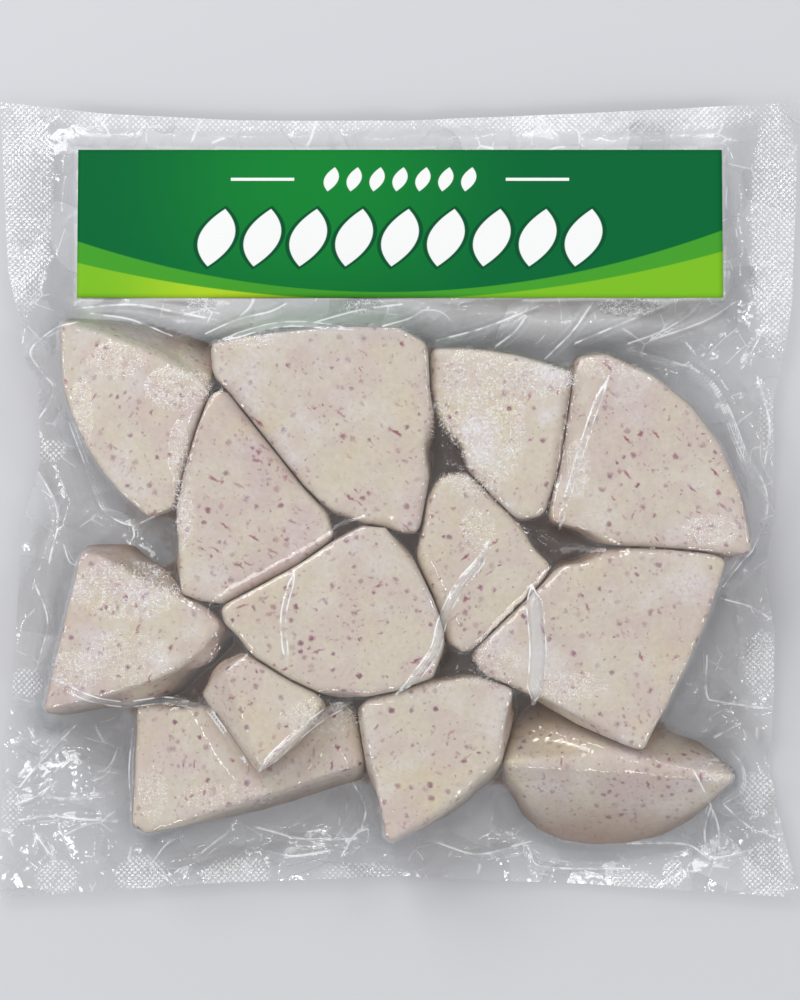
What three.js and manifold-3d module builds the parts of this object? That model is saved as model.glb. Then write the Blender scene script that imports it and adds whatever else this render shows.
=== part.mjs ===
// A flat vacuum pack of frozen taro: thirteen peeled chunks sealed between two webs of clear
// film, with a printed label across the top. Millimetres, +Z up, the label side up and the
// label's edge of the pack towards +Y. The origin is on the surface that the pack lies on,
// under the middle of the pouch.
import * as THREE from 'three';
import { ConvexGeometry } from 'three/addons/geometries/ConvexGeometry.js';
import { mergeVertices } from 'three/addons/utils/BufferGeometryUtils.js';
import Module from 'manifold-3d';

const wasm = await Module();
wasm.setup();

// ---- Driving dimensions -------------------------------------------------------------------

const FILM = 0.6; // how thick each web of film is, crumples included
const GAP = 0.35; // clearance between neighbouring pieces
const BED = FILM + GAP; // height of the chunks' undersides above the surface
const CURVE_STEPS = 5; // straight pieces in each curved stretch of a cut edge
const FOOT_INSET = 0.94; // a chunk's underside against its widest outline
const BELLY = 0.25; // where a chunk is widest, as a share of its height
const CUT_GAP = 0.7; // clearance where one chunk gives way to another
const WELD = 1e-4; // corners closer than this are one corner
const UPRIGHT = 1e-6; // a face whose normal climbs less than this stands upright

// The pouch outline: how far out each side lies, at places along it.
const SIDE_RIGHT = [[-105, 106.5], [-87, 100.5], [-69, 97], [-35, 98.5], [-21, 96], [26, 98],
  [52, 103], [105, 105.5]];
const SIDE_LEFT = [[-105, -105.5], [-64, -104], [-27, -100.5], [10, -94.5], [32, -95.5],
  [47, -100], [105, -105]];
const END_TOP = [[-105, 104.5], [-78, 101.5], [-42, 99.7], [0, 99.6], [52, 101.7], [105, 104.5]];
const END_BOTTOM = [[-105, -104.5], [-46, -100.5], [0, -98.8], [50, -101], [105, -104.5]];

// The lines of the grid that both webs of film are made on, inside the outline, and how much
// further along its sides the outline's corners lie.
const COLUMNS = { from: -93.5, to: 93.5, count: 28 };
const ROWS = { from: -94, to: 47.5, count: 21 };
const LABEL_ROWS = [51.5, 60, 70, 80, 88, 94];
const CORNER_REACH = 1.08;

// The label, which slopes down from the chunks towards the top seal, and how far past its sides
// the film under it lies flat.
const LABEL = {
  width: 168.7, length: 39.5, thickness: 0.3, low: 52.8, height: 13, slope: -0.165, margin: 3.5,
};

// How the film lies: the seam's height above the surface at the pouch's edge, how far outside
// the chunks it takes to rise there; then how hard the vacuum pulls, the rounds of settling, how
// little a round may still change, the spacing of the tested places, how far around each one the
// chunks count, the film's clearance there and how far it may stand off.
const SEAM = { rise: 5, flat: 9, run: 12 };
const VACUUM = {
  pull: 0.8, rounds: 120, enough: 1e-3, sample: 1, around: 0.9, clear: 0.55, slack: 0.5,
};

// ---- The chunks ---------------------------------------------------------------------------

// Each chunk has a top face and a wider outline below it. A pair of numbers is a corner, and
// four numbers are a curve's guide point and its end. height is the top face's height above the
// chunk's own underside, tilt is how much that face climbs along X and Y, and bed lifts the
// chunk off the film.
const CHUNKS = [
  { name: 'chunk_01', height: 27, tilt: [0.06, -0.05], colour: 0xd9cdbd,
    top: [[-87.5, 45.5], [-67.5, 41, -50.5, 29], [-59.5, -1.5], [-65, -4], [-81, 8, -87, 30]],
    wide: [[-87.5, 47], [-65, 47.5, -49.5, 40.5], [-49, 29.5], [-59, -2], [-65, -4.5],
      [-82, 8, -88, 30]] },
  { name: 'chunk_02', height: 31, tilt: [0.01, 0.02], colour: 0xdcd1c2,
    top: [[-48, 40], [-26, 45, -0.5, 44], [5.5, 40.5], [8, 18, 3.5, -8], [-14.5, -5, -24.5, 5],
      [-46.5, 31.5]],
    wide: [[-48.5, 40.5], [-26, 46.5, 0, 44.5], [6.5, 41], [8.5, 18, 4.5, -8.5],
      [-14.5, -5.5, -24, 5], [-46.5, 31.5]] },
  { name: 'chunk_03', height: 28, tilt: [0.03, -0.04], colour: 0xddd2bd,
    top: [[9, 38.5], [26, 39.5, 44, 32.5], [41, 10.5], [35.5, -3.5], [32.5, -3.5], [13.5, 13, 9, 30]],
    wide: [[8.5, 39.5], [26, 41, 44.5, 33.5], [41.5, 10.5], [36, -4], [32.5, -4.5],
      [13.5, 11.5, 8.5, 30]] },
  { name: 'chunk_04', height: 29, tilt: [-0.03, -0.03], colour: 0xdacec2,
    top: [[46.5, 36.5], [53.5, 37], [86, 26, 90.5, -13], [52, -8.5], [40, -5.5], [44, 15.5]],
    wide: [[46, 37.5], [53.5, 38.5], [88, 26.5, 92, -13.5], [52, -9], [39.5, -6], [43.5, 15.5]] },
  { name: 'chunk_05', height: 30, tilt: [0.02, 0.03], colour: 0xd8ccc0,
    top: [[-55.5, -23], [-60.5, 2.5, -47.5, 27.5], [-45, 27.5], [-26, -0.5], [-17.5, -8.5],
      [-27, -16.5], [-46.5, -26]],
    wide: [[-56, -23.5], [-60.5, 2.5, -48, 28], [-45, 28.5], [-25.5, -0.5], [-17, -9],
      [-27, -17], [-47, -26.5]] },
  { name: 'chunk_06', height: 33, tilt: [0, 0.02], colour: 0xd9ccb9,
    top: [[-45.5, -28.5], [-26, -18.5], [-10, -8], [-4, -8], [7.5, -26], [12.5, -36.5, 8, -44],
      [-15.5, -55.5, -36, -39]],
    wide: [[-46, -28.5], [-26, -18], [-10, -7.5], [-3.5, -7.5], [8, -26.5], [13, -37, 8.5, -44.5],
      [-15.5, -56.5, -37, -39.5]] },
  { name: 'chunk_07', height: 28, tilt: [-0.03, 0.01], colour: 0xd5c8b1,
    top: [[12.5, 5.5], [15, 5.5], [38, -16.5], [35, -21], [16, -38.5], [13.5, -36.5], [6, -13.5],
      [8.5, 0]],
    wide: [[12, 6.5], [15.5, 6], [39, -16.5], [35.5, -21.5], [16, -39.5], [13, -37], [5.5, -13.5],
      [8, 0.5]] },
  { name: 'chunk_08', height: 30, tilt: [0.01, 0.02], colour: 0xd8ccbe,
    top: [[43.5, -17.5], [67.5, -12.5, 83.5, -16.5], [78, -36.5, 63, -63], [47, -56],
      [20, -41.5], [37, -24.5]],
    wide: [[42, -16.5], [67.5, -11.5, 84.5, -16.5], [79.5, -36.5, 63.5, -63.5], [47, -57],
      [18.5, -41.5], [36.5, -23.5]] },
  { name: 'chunk_09', height: 29, tilt: [0.04, 0.03], colour: 0xd7cabd,
    top: [[-82, -14], [-77, -15], [-47.5, -33], [-54.5, -47, -86, -52], [-91.5, -54]],
    wide: [[-82, -12], [-70, -12], [-46, -34.5], [-43, -36.5], [-52, -51, -88, -56],
      [-92.5, -55.5]] },
  { name: 'chunk_10', height: 21, tilt: [0, 0], colour: 0xcfc1b0,
    top: [[-67.5, -56], [-52, -54.5], [-13, -54.5], [-11, -68.5], [-36, -70.5], [-66, -86],
      [-69, -84]],
    wide: [[-68.5, -55.5], [-52, -54], [-13, -54], [-10.5, -73], [-36, -81], [-66, -87],
      [-70, -85.5]] },
  { name: 'chunk_11', height: 11, tilt: [-0.02, -0.03], colour: 0xdccfbd, bed: 22.2,
    top: [[-44.5, -44], [-41, -41.5], [-21, -53.5], [-27, -62], [-35.5, -69]],
    wide: [[-51, -50], [-42, -40.5], [-19.5, -53.5], [-26, -63], [-37, -70.5]] },
  { name: 'chunk_12', height: 29, tilt: [-0.03, 0.04], colour: 0xdacdbb,
    top: [[-9.5, -54], [8, -48.5], [16, -47.5], [28.5, -50], [24.5, -66.5], [17.5, -78, -3, -88]],
    wide: [[-10, -54], [8, -48], [16.5, -47], [29, -50], [25, -69], [19.5, -82, -3, -89]] },
  { name: 'chunk_13', height: 25, tilt: [0, 0.02], colour: 0xd3c6b8,
    top: [[28.5, -68], [52, -68.5], [86, -72], [78, -70.5], [52, -66.5]],
    wide: [[34, -53], [66.5, -59.5], [78, -63.5], [87.5, -71], [76, -91, 50, -90],
      [29.5, -89, 28.5, -70]],
    beside: 'chunk_08' },
];

// ---- Helpers ------------------------------------------------------------------------------

const clamp = THREE.MathUtils.clamp;

// The straight-sided outline of a list of corners and curves.
function outline(turns) {
  const points = [];
  for (const [a, b, x, y] of turns) {
    if (x === undefined) {
      points.push(new THREE.Vector2(a, b));
      continue;
    }
    const start = points.at(-1);
    const curve = new THREE.QuadraticBezierCurve(start, new THREE.Vector2(a, b), new THREE.Vector2(x, y));
    points.push(...curve.getPoints(CURVE_STEPS).slice(1));
  }
  return points;
}

function middle(points) {
  const sum = points.reduce((total, p) => total.add(p), new THREE.Vector2());
  return sum.divideScalar(points.length);
}

// Value at x of the broken line through [x, value] pairs.
function along(line, x) {
  const next = line.findIndex(([at], i) => i > 0 && (at >= x || i === line.length - 1));
  const [x0, v0] = line[next - 1];
  const [x1, v1] = line[next];
  return THREE.MathUtils.lerp(v0, v1, clamp((x - x0) / (x1 - x0), 0, 1));
}

function solidFrom(geometry) {
  const bare = new THREE.BufferGeometry();
  bare.setAttribute('position', geometry.getAttribute('position').clone());
  bare.setIndex(geometry.getIndex());
  const merged = mergeVertices(bare, WELD);
  return new wasm.Manifold(new wasm.Mesh({
    numProp: 3,
    vertProperties: new Float32Array(merged.getAttribute('position').array),
    triVerts: new Uint32Array(merged.getIndex().array),
  }));
}

function geometryFrom(solid) {
  const mesh = solid.getMesh();
  const geometry = new THREE.BufferGeometry();
  geometry.setAttribute('position', new THREE.BufferAttribute(mesh.vertProperties, 3));
  geometry.setIndex(new THREE.BufferAttribute(mesh.triVerts, 1));
  return geometry;
}

// ---- Chunks -------------------------------------------------------------------------------

// The convex block of one chunk, grown sideways by a clearance.
function chunkBlock(chunk, clearance = 0) {
  const bed = BED + (chunk.bed ?? 0);
  const wide = outline(chunk.wide);
  const centre = middle(wide);
  const grown = (p, share) => {
    const arm = p.clone().sub(centre);
    return arm.multiplyScalar(share).addScaledVector(arm.clone().normalize(), clearance).add(centre);
  };
  const ring = (points, share, level) => points.map((p) => {
    const q = grown(p, share);
    return new THREE.Vector3(q.x, q.y, level(p));
  });
  const topLevel = (p) => bed + chunk.height
    + chunk.tilt[0] * (p.x - centre.x) + chunk.tilt[1] * (p.y - centre.y);
  return new ConvexGeometry([
    ...ring(wide, FOOT_INSET, () => bed),
    ...ring(wide, 1, () => bed + BELLY * chunk.height),
    ...ring(outline(chunk.top), 1, topLevel),
  ]);
}

function chunkGeometry(chunk) {
  const block = chunkBlock(chunk);
  if (!chunk.beside) {
    return geometryFrom(solidFrom(block));
  }
  // Frozen against its neighbour, so its edge gives way to it.
  const neighbour = CHUNKS.find(({ name }) => name === chunk.beside);
  return geometryFrom(solidFrom(block).subtract(solidFrom(chunkBlock(neighbour, CUT_GAP))));
}

// The planes of a chunk's faces, for finding how high it stands at a place.
function chunkShape(chunk) {
  const block = chunkBlock(chunk);
  const corners = block.getAttribute('position');
  const planes = [];
  for (let i = 0; i < corners.count; i += 3) {
    const [a, b, c] = [0, 1, 2].map((k) => new THREE.Vector3().fromBufferAttribute(corners, i + k));
    planes.push(new THREE.Plane().setFromCoplanarPoints(a, b, c));
  }
  const box = new THREE.Box3().setFromBufferAttribute(corners);
  return { planes, box, wide: outline(chunk.wide) };
}

// The height of a chunk's upper side at (x, y), or -Infinity beside it.
function upperSide({ planes, box }, x, y) {
  if (x < box.min.x || x > box.max.x || y < box.min.y || y > box.max.y) {
    return -Infinity;
  }
  let above = Infinity;
  let below = -Infinity;
  for (const { normal, constant } of planes) {
    const rest = -(constant + normal.x * x + normal.y * y);
    if (Math.abs(normal.z) < UPRIGHT) {
      if (rest < 0) {
        return -Infinity;
      }
    } else if (normal.z > 0) {
      above = Math.min(above, rest / normal.z);
    } else {
      below = Math.max(below, rest / normal.z);
    }
  }
  return above >= below ? above : -Infinity;
}

// How far (x, y) lies outside a closed outline; 0 inside it.
function distanceTo(points, x, y) {
  let inside = false;
  let nearest = Infinity;
  points.forEach((b, i) => {
    const a = points.at(i - 1);
    if ((a.y > y) !== (b.y > y) && x < a.x + ((y - a.y) / (b.y - a.y)) * (b.x - a.x)) {
      inside = !inside;
    }
    const edge = b.clone().sub(a);
    const t = clamp(((x - a.x) * edge.x + (y - a.y) * edge.y) / edge.lengthSq(), 0, 1);
    nearest = Math.min(nearest, Math.hypot(x - a.x - t * edge.x, y - a.y - t * edge.y));
  });
  return inside ? 0 : nearest;
}

// ---- Film ---------------------------------------------------------------------------------

const spread = ({ from, to, count }) => Array.from({ length: count },
  (_, i) => from + ((to - from) * i) / (count - 1));

// The places of the grid that both webs share: straight lines inside, the outline around them.
function filmGrid() {
  const columns = spread(COLUMNS);
  const rows = [...spread(ROWS), ...LABEL_ROWS];
  const grid = [];
  for (let j = -1; j <= rows.length; j += 1) {
    for (let i = -1; i <= columns.length; i += 1) {
      const x = columns[clamp(i, 0, columns.length - 1)];
      const y = rows[clamp(j, 0, rows.length - 1)];
      const corner = (i < 0 || i === columns.length) && (j < 0 || j === rows.length);
      const reach = corner ? CORNER_REACH : 1;
      const side = { [-1]: SIDE_LEFT, [columns.length]: SIDE_RIGHT }[i];
      const end = { [-1]: END_BOTTOM, [rows.length]: END_TOP }[j];
      grid.push(new THREE.Vector2(
        side ? along(side, y * reach) : x,
        end ? along(end, x * reach) : y,
      ));
    }
  }
  return { grid, across: columns.length + 2, up: rows.length + 2 };
}

// The two triangles of every cell of the grid, as corner numbers.
function filmTriangles({ across, up }) {
  const triangles = [];
  for (let j = 0; j < up - 1; j += 1) {
    for (let i = 0; i < across - 1; i += 1) {
      const a = j * across + i;
      triangles.push([a, a + 1, a + across + 1], [a, a + across + 1, a + across]);
    }
  }
  return triangles;
}

// The closed sheet between heights lower and lower + FILM over the grid.
function filmGeometry(web, lower) {
  const { grid, across, up } = web;
  const total = grid.length;
  const place = (lift) => grid.flatMap((p, n) => [p.x, p.y, lower[n] + lift]);
  const index = [];
  for (const [a, b, c] of filmTriangles(web)) {
    index.push(a, c, b, a + total, b + total, c + total);
  }
  const rim = [];
  for (let i = 0; i < across - 1; i += 1) rim.push(i);
  for (let j = 0; j < up - 1; j += 1) rim.push(j * across + across - 1);
  for (let i = across - 1; i > 0; i -= 1) rim.push((up - 1) * across + i);
  for (let j = up - 1; j > 0; j -= 1) rim.push(j * across);
  rim.forEach((a, n) => {
    const b = rim[(n + 1) % rim.length];
    index.push(a, b, b + total, a, b + total, a + total);
  });
  const geometry = new THREE.BufferGeometry();
  geometry.setAttribute('position', new THREE.Float32BufferAttribute([...place(0), ...place(FILM)], 3));
  geometry.setIndex(index);
  return geometry;
}

// The lower face of the back web: flat under the chunks, rising to the seam.
function backHeights({ grid }, shapes) {
  return grid.map(({ x, y }) => {
    const near = Math.min(...shapes.map(({ wide }) => distanceTo(wide, x, y)));
    return SEAM.rise * THREE.MathUtils.smoothstep(near - SEAM.flat, 0, SEAM.run);
  });
}

const labelPlane = (y) => LABEL.height + LABEL.slope * (y - LABEL.low);

// Samples of the height that the front web clears, listed by film triangle with their weights.
function obstacles(web, shapes) {
  const reach = VACUUM.around;
  const around = [[0, 0], [reach, 0], [-reach, 0], [0, reach], [0, -reach]];
  const roof = (x, y) => Math.max(...around.flatMap(
    ([dx, dy]) => shapes.map((shape) => upperSide(shape, x + dx, y + dy))));
  const found = [];
  for (const corners of filmTriangles(web)) {
    const [a, b, c] = corners.map((n) => web.grid[n]);
    const area = (b.x - a.x) * (c.y - a.y) - (c.x - a.x) * (b.y - a.y);
    const box = new THREE.Box2().setFromPoints([a, b, c]);
    for (let x = box.min.x; x <= box.max.x; x += VACUUM.sample) {
      for (let y = box.min.y; y <= box.max.y; y += VACUUM.sample) {
        const wb = ((x - a.x) * (c.y - a.y) - (c.x - a.x) * (y - a.y)) / area;
        const wc = ((b.x - a.x) * (y - a.y) - (x - a.x) * (b.y - a.y)) / area;
        const need = Math.min(wb, wc, 1 - wb - wc) >= 0 ? roof(x, y) + VACUUM.clear : -Infinity;
        if (need > 0) {
          found.push({ corners, weights: [1 - wb - wc, wb, wc], need });
        }
      }
    }
  }
  return found;
}

// The lower face of the front web: pulled down by the vacuum until it lies on the chunks or on
// the back web, and flat under the label.
function frontHeights(web, back, samples) {
  const { grid, across, up } = web;
  const floor = back.map((height) => height + FILM + GAP);
  const underLabel = ({ x, y }) => Math.abs(x) < LABEL.width / 2 + LABEL.margin && y > ROWS.to + GAP;
  const edge = (n) => n % across === 0 || n % across === across - 1
    || n < across || n >= (up - 1) * across;
  const fixed = grid.map((p, n) => {
    if (edge(n)) {
      return floor[n];
    }
    return underLabel(p) ? Math.max(labelPlane(p.y), floor[n]) : null;
  });
  const heights = floor.map((height, n) => fixed[n] ?? height);
  const ceiling = floor.map(() => -Infinity);
  for (const { corners, need } of samples) {
    corners.forEach((n) => {
      ceiling[n] = Math.max(ceiling[n], need + VACUUM.slack);
    });
  }
  const lift = () => {
    let worst = 0;
    for (const { corners, weights, need } of samples) {
      const short = need - corners.reduce((sum, n, k) => sum + weights[k] * heights[n], 0);
      worst = Math.max(worst, short);
      if (short > 0) {
        const free = corners.map((n) => fixed[n] === null && heights[n] < ceiling[n]);
        const share = weights.reduce((sum, weight, k) => sum + (free[k] ? weight : 0), 0);
        corners.forEach((n, k) => {
          heights[n] = free[k] ? Math.min(heights[n] + short / share, ceiling[n]) : heights[n];
        });
      }
    }
    return worst;
  };
  const settle = () => {
    for (let j = 1; j < up - 1; j += 1) {
      for (let i = 1; i < across - 1; i += 1) {
        const n = j * across + i;
        const around = (heights[n - 1] + heights[n + 1] + heights[n - across] + heights[n + across]) / 4;
        heights[n] = fixed[n] ?? Math.max(floor[n], around - VACUUM.pull);
      }
    }
  };
  for (let round = 0; round < VACUUM.rounds; round += 1) {
    settle();
    lift();
  }
  for (let round = 0; round < VACUUM.rounds && lift() > VACUUM.enough; round += 1);
  return heights;
}

// ---- Label --------------------------------------------------------------------------------

function labelMesh(material) {
  const { width, length, thickness, low, slope } = LABEL;
  const mesh = new THREE.Mesh(new THREE.BoxGeometry(width, length, thickness), material);
  const angle = Math.atan(slope);
  const centre = low + (length / 2) * Math.cos(angle);
  mesh.name = 'label';
  mesh.rotation.x = angle;
  mesh.position.set(0, centre, labelPlane(centre) + FILM + GAP + thickness);
  return mesh;
}

// ---- The pack -----------------------------------------------------------------------------

const filmMaterial = () => new THREE.MeshStandardMaterial({
  color: 0xe6eaec, roughness: 0.12, metalness: 0, transparent: true, opacity: 0.25,
});
const taroMaterial = (colour) => new THREE.MeshStandardMaterial({
  color: colour, roughness: 0.5, metalness: 0,
});
const labelMaterial = new THREE.MeshStandardMaterial({ color: 0x146e37, roughness: 0.35, metalness: 0 });

function named(name, geometry, material) {
  const mesh = new THREE.Mesh(geometry, material);
  mesh.name = name;
  return mesh;
}

const pack = new THREE.Group();
for (const chunk of CHUNKS) {
  pack.add(named(chunk.name, chunkGeometry(chunk), taroMaterial(chunk.colour)));
}

const shapes = CHUNKS.map(chunkShape);
const web = filmGrid();
const back = backHeights(web, shapes);
const front = frontHeights(web, back, obstacles(web, shapes));
pack.add(named('back_film', filmGeometry(web, back), filmMaterial()));
pack.add(named('front_film', filmGeometry(web, front), filmMaterial()));
pack.add(labelMesh(labelMaterial));

export default pack;
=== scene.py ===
"""A vacuum pack of frozen taro: peeled chunks, two crumpled webs of clear film and a label.

Everything is in metres in the CAD model's frame: +Z up out of the label side, +Y towards the
label's end of the pack, the origin on the surface under the middle of the pouch. Sizes in the
dataclasses are in millimetres and are multiplied by MM where they become geometry.
"""

import logging
import math
import random
from dataclasses import dataclass, field
from enum import Enum

import bmesh
import bpy
import numpy as np
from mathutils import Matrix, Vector, kdtree, noise
from mathutils.bvhtree import BVHTree
from mathutils.geometry import delaunay_2d_cdt


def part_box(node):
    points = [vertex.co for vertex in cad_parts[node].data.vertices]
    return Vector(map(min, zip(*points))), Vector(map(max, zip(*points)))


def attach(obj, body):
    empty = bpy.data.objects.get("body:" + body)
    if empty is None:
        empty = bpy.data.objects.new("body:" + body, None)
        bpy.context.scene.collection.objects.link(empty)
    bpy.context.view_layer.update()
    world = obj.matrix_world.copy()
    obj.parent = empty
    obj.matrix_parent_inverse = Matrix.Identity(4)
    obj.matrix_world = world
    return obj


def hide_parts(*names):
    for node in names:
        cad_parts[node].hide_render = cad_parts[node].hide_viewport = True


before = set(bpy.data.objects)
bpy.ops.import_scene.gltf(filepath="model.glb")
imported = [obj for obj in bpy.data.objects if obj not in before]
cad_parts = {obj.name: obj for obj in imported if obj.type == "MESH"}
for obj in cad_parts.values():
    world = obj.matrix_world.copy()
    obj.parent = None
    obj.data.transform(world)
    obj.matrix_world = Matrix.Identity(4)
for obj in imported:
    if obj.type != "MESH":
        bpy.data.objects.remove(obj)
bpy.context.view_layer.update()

MM = 0.001
log = logging.getLogger("taro_pack")

Colour = tuple[float, float, float]
Path = tuple[tuple[float, float], ...]


# ---- Shared helpers -----------------------------------------------------------------------


def linear(red: int, green: int, blue: int) -> Colour:
    """Turns an 8-bit display colour into the linear values that shaders take.

    Args:
        red: Red from 0 to 255.
        green: Green from 0 to 255.
        blue: Blue from 0 to 255.

    Returns:
        The colour in linear light.
    """
    def one(value: float) -> float:
        """Linear value of one channel."""
        share = value / 255
        return share / 12.92 if share <= 0.04045 else ((share + 0.055) / 1.055) ** 2.4
    return one(red), one(green), one(blue)


def smooth(low: float, high: float, value: np.ndarray) -> np.ndarray:
    """Eases from 0 at low to 1 at high."""
    t = np.clip((value - low) / (high - low), 0, 1)
    return t * t * (3 - 2 * t)


def curve_points(path: Path, step: float) -> np.ndarray:
    """Points along a smooth curve through given places.

    Args:
        path: The places, in mm.
        step: The spacing of the points, in mm.

    Returns:
        An array of points, one row each, in mm.
    """
    places = [Vector(p) for p in path]
    places = [2 * places[0] - places[1], *places, 2 * places[-1] - places[-2]]
    found = []
    for a, b, c, d in zip(places, places[1:], places[2:], places[3:]):
        count = max(2, round((c - b).length / step))
        for k in range(count):
            t = k / count
            found.append(0.5 * (2 * b + (c - a) * t + (2 * a - 5 * b + 4 * c - d) * t * t
                                + (3 * b - a - 3 * c + d) * t ** 3))
    found.append(places[-2])
    return np.array(found)


def new_object(name: str, data: bpy.types.ID) -> bpy.types.Object:
    """Links an object for a mesh, light or camera into the scene and returns it."""
    made = bpy.data.objects.new(name, data)
    bpy.context.scene.collection.objects.link(made)
    return made


def apply_modifiers(obj: bpy.types.Object) -> None:
    """Bakes an object's modifiers into its mesh."""
    seen = obj.evaluated_get(bpy.context.evaluated_depsgraph_get())
    mesh = bpy.data.meshes.new_from_object(seen)
    obj.modifiers.clear()
    obj.data = mesh


def shade_smooth(mesh: bpy.types.Mesh) -> None:
    """Shades every face of a mesh smooth."""
    mesh.polygons.foreach_set("use_smooth", [True] * len(mesh.polygons))


def add_attribute(mesh: bpy.types.Mesh, name: str, values: np.ndarray) -> None:
    """Stores one number per vertex on a mesh, for its material to read."""
    layer = mesh.attributes.new(name, "FLOAT", "POINT")
    layer.data.foreach_set("value", values.astype(np.float32).ravel())


def chunk_surface(pieces: list[bpy.types.Object]) -> BVHTree:
    """One search tree over all the chunks' surfaces."""
    verts: list[Vector] = []
    faces: list[tuple[int, ...]] = []
    for piece in pieces:
        start = len(verts)
        verts += [v.co.copy() for v in piece.data.vertices]
        faces += [tuple(start + n for n in p.vertices) for p in piece.data.polygons]
    return BVHTree.FromPolygons(verts, faces)


class Graph:
    """Wires the nodes of one node tree."""

    def __init__(self, tree: bpy.types.NodeTree) -> None:
        """Starts on an existing tree, with noise in three dimensions."""
        self.tree = tree
        self.dimensions = "3D"

    def node(self, kind: str, inputs: dict | None = None, **settings: object) -> bpy.types.Node:
        """Adds a node.

        Args:
            kind: The node's class name.
            inputs: Values or sockets by input name or number.
            **settings: Properties of the node.

        Returns:
            The new node.
        """
        made = self.tree.nodes.new(kind)
        for key, value in settings.items():
            setattr(made, key, value)
        for key, value in (inputs or {}).items():
            self.feed(made.inputs[key], value)
        return made

    def feed(self, socket: bpy.types.NodeSocket, value: object) -> None:
        """Gives an input socket a link or a fixed value."""
        if isinstance(value, bpy.types.NodeSocket):
            self.tree.links.new(value, socket)
        elif isinstance(value, tuple) and socket.type == "RGBA":
            socket.default_value = (*value, 1.0)
        else:
            socket.default_value = value

    def math(self, operation: str, *values: object, clamp: bool = False) -> bpy.types.NodeSocket:
        """Adds a Math node and returns its output."""
        made = self.node("ShaderNodeMath", dict(enumerate(values)), operation=operation)
        made.use_clamp = clamp
        return made.outputs[0]

    def ease(self, value: object, low: float, high: float,
             start: float = 0.0, end: float = 1.0) -> bpy.types.NodeSocket:
        """Maps a value smoothly from low..high to start..end."""
        made = self.node("ShaderNodeMapRange", {"Value": value, "From Min": low, "From Max": high,
                                                "To Min": start, "To Max": end})
        made.interpolation_type = "SMOOTHSTEP"
        return made.outputs["Result"]

    def blend(self, share: object, first: object, second: object,
              mode: str = "MIX") -> bpy.types.NodeSocket:
        """Mixes two colours and returns the result."""
        made = self.node("ShaderNodeMix", data_type="RGBA", blend_type=mode)
        self.feed(made.inputs[0], share)
        self.feed(made.inputs[6], first)
        self.feed(made.inputs[7], second)
        return made.outputs[2]

    def noise(self, vector: object, scale: float, detail: float = 3.0,
              rough: float = 0.5) -> bpy.types.NodeSocket:
        """Adds a noise texture and returns its value."""
        made = self.node("ShaderNodeTexNoise", {"Vector": vector, "Scale": scale,
                                                "Detail": detail, "Roughness": rough},
                         noise_dimensions=self.dimensions)
        return made.outputs["Fac"]

    def attribute(self, name: str) -> bpy.types.NodeSocket:
        """Reads a per-vertex number."""
        return self.node("ShaderNodeAttribute", attribute_name=name).outputs["Fac"]

    def millimetres(self) -> bpy.types.NodeSocket:
        """Object coordinates in millimetres."""
        place = self.node("ShaderNodeTexCoord").outputs["Object"]
        return self.node("ShaderNodeVectorMath", {0: place, "Scale": 1 / MM},
                         operation="SCALE").outputs[0]


def group_tree(name: str, inputs: dict[str, str], outputs: dict[str, str]) -> tuple[
        bpy.types.NodeTree, Graph, dict[str, bpy.types.NodeSocket], bpy.types.Node]:
    """Starts a shader node group.

    Args:
        name: The group's name.
        inputs: Socket kinds by input name.
        outputs: Socket kinds by output name.

    Returns:
        The tree, its graph, its inputs' sockets by name and its output node.
    """
    tree = bpy.data.node_groups.new(name, "ShaderNodeTree")
    for key, kind in inputs.items():
        tree.interface.new_socket(key, in_out="INPUT", socket_type=kind)
    for key, kind in outputs.items():
        tree.interface.new_socket(key, in_out="OUTPUT", socket_type=kind)
    graph = Graph(tree)
    entry = graph.node("NodeGroupInput")
    return tree, graph, {key: entry.outputs[key] for key in inputs}, graph.node("NodeGroupOutput")


def new_material(name: str) -> tuple[bpy.types.Material, Graph, bpy.types.Node]:
    """Makes an empty node material and returns it, its graph and its output node."""
    material = bpy.data.materials.new(name)
    material.use_nodes = True
    material.node_tree.nodes.clear()
    graph = Graph(material.node_tree)
    return material, graph, graph.node("ShaderNodeOutputMaterial")


# ---- Taro flesh ---------------------------------------------------------------------------


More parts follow.
